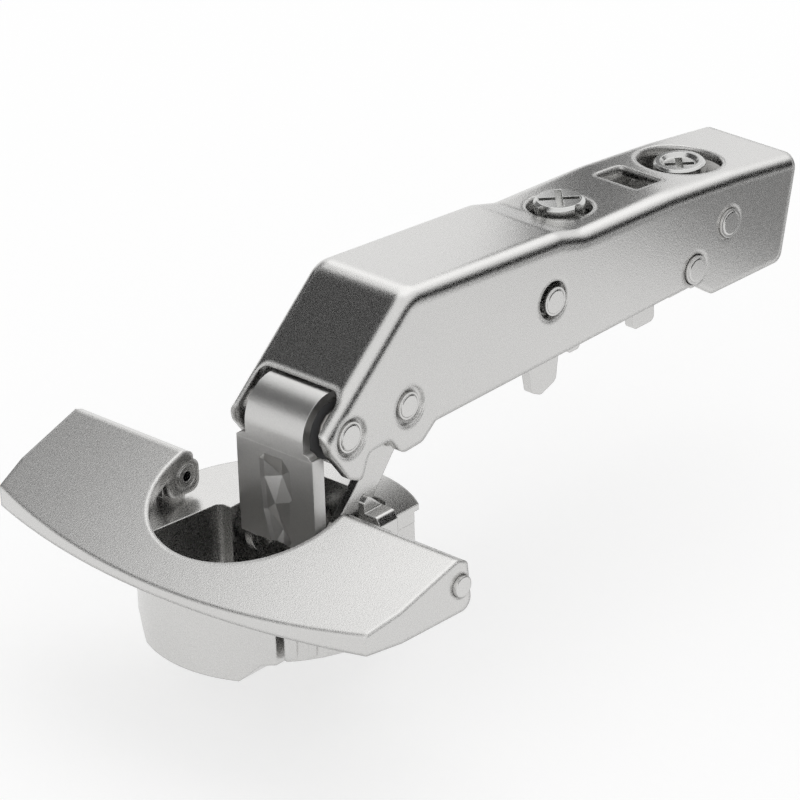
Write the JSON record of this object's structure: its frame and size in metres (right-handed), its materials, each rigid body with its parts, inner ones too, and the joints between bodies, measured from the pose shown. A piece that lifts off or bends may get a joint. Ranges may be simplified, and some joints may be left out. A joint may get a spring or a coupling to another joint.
{
  "type": "concealed cup hinge",
  "caption": "Concealed cabinet hinge: folded arm with adjusting screws on a clip adapter, crossed links, round cup with side clamp jaws and a notched cover flap that drives them.",
  "frame": {"origin": "centre of the round cup on the door's face, under the flange", "axes": "+X from arm to cup across the door, +Y along the door's edge, +Z out of the door's face"},
  "size_m": [0.1131, 0.0646, 0.0397],
  "materials": {
    "nickel_sheet": "nickel-plated sheet steel, satin",
    "pin_steel": "nickel-plated turned steel",
    "screw_zinc": "nickel-plated screw steel",
    "spring_steel": "dark spring wire",
    "bush_plastic": "moulded plastic"
  },
  "bodies": {
    "adapter": {"clip_adapter": "nickel_sheet", "catch_pin": "pin_steel", "catch_spring": "spring_steel"},
    "catch": {"catch_lever": "screw_zinc"},
    "channel": {"middle_channel": "nickel_sheet", "channel_rivets": "pin_steel", "side_screw_bush": "pin_steel"},
    "depth_screw": {"depth_adjust_screw": "screw_zinc"},
    "side_screw": {"side_adjust_screw": "screw_zinc"},
    "arm": {"arm_shell": "nickel_sheet", "outer_link_pin": "pin_steel", "inner_link_pin": "pin_steel", "pin_washers": "spring_steel", "closing_spring": "spring_steel"},
    "outer_link": {"outer_link": "nickel_sheet", "link_bush": "bush_plastic"},
    "inner_link": {"inner_link": "nickel_sheet"},
    "cup": {"hinge_cup": "nickel_sheet", "cup_pin_rear": "pin_steel", "cup_pins_front": "pin_steel", "flap_pins": "pin_steel"},
    "flap": {"cover_flap": "nickel_sheet"},
    "jaw_left": {"clamp_jaw_left": "nickel_sheet"},
    "jaw_right": {"clamp_jaw_right": "nickel_sheet"}
  },
  "joints": [
    {"name": "depth_slide", "type": "slide", "parent": "adapter", "child": "channel", "axis": [1, 0, 0], "range_m": [-0.0019, 0.0019]},
    {"name": "depth_screw_turn", "type": "hinge", "parent": "channel", "child": "depth_screw", "pos_m": [-0.0772, 0, 0.02], "axis": [0, 0, 1], "range_deg": [-60, 60]},
    {"name": "arm_tilt", "type": "hinge", "parent": "channel", "child": "arm", "pos_m": [-0.0772, 0, 0.0156], "axis": [0, 1, 0], "range_deg": [-1, 1]},
    {"name": "side_screw_turn", "type": "hinge", "parent": "channel", "child": "side_screw", "pos_m": [-0.0536, 0, 0.02], "axis": [0, 0, 1], "range_deg": [-90.5, 90.5]},
    {"name": "catch_pivot", "type": "hinge", "parent": "adapter", "child": "catch", "pos_m": [-0.0732, 0, 0.0106], "axis": [0, 1, 0], "range_deg": [0, 15], "stiffness_Nm_per_rad": 0.01, "springref_deg": -11.46},
    {"name": "outer_link_pivot", "type": "hinge", "parent": "arm", "child": "outer_link", "pos_m": [-0.0054, 0, 0.0131], "axis": [0, -1, 0], "range_deg": [-8.86, 39.87]},
    {"name": "cup_pivot", "type": "hinge", "parent": "outer_link", "child": "cup", "pos_m": [-0.00975, 0, -0.005], "axis": [0, -1, 0], "range_deg": [-11.19, 50.18]},
    {"name": "inner_link_pivot", "type": "hinge", "parent": "arm", "child": "inner_link", "pos_m": [-0.01594, 0, 0.01323], "axis": [0, -1, 0], "range_deg": [-5.15, 23]},
    {"name": "flap_pivot", "type": "hinge", "parent": "cup", "child": "flap", "pos_m": [0.0018, 0, 0.0039], "axis": [0, 1, 0], "range_deg": [-80, 0]},
    {"name": "jaw_left_slide", "type": "slide", "parent": "cup", "child": "jaw_left", "axis": [0, 1, 0], "range_m": [-0.00061, 0]},
    {"name": "jaw_right_slide", "type": "slide", "parent": "cup", "child": "jaw_right", "axis": [0, -1, 0], "range_m": [-0.00061, 0]}
  ],
  "couplings": [
    {"joint": "depth_screw_turn", "follows": "depth_slide", "rad_per_m": 549},
    {"joint": "side_screw_turn", "follows": "arm_tilt", "ratio": 90},
    {"joint": "cup_pivot", "follows": "outer_link_pivot", "ratio": 1.2573},
    {"joint": "inner_link_pivot", "follows": "outer_link_pivot", "ratio": 0.57562},
    {"joint": "jaw_left_slide", "follows": "flap_pivot", "m_per_rad": 0.00043},
    {"joint": "jaw_right_slide", "follows": "flap_pivot", "m_per_rad": 0.00043}
  ]
}
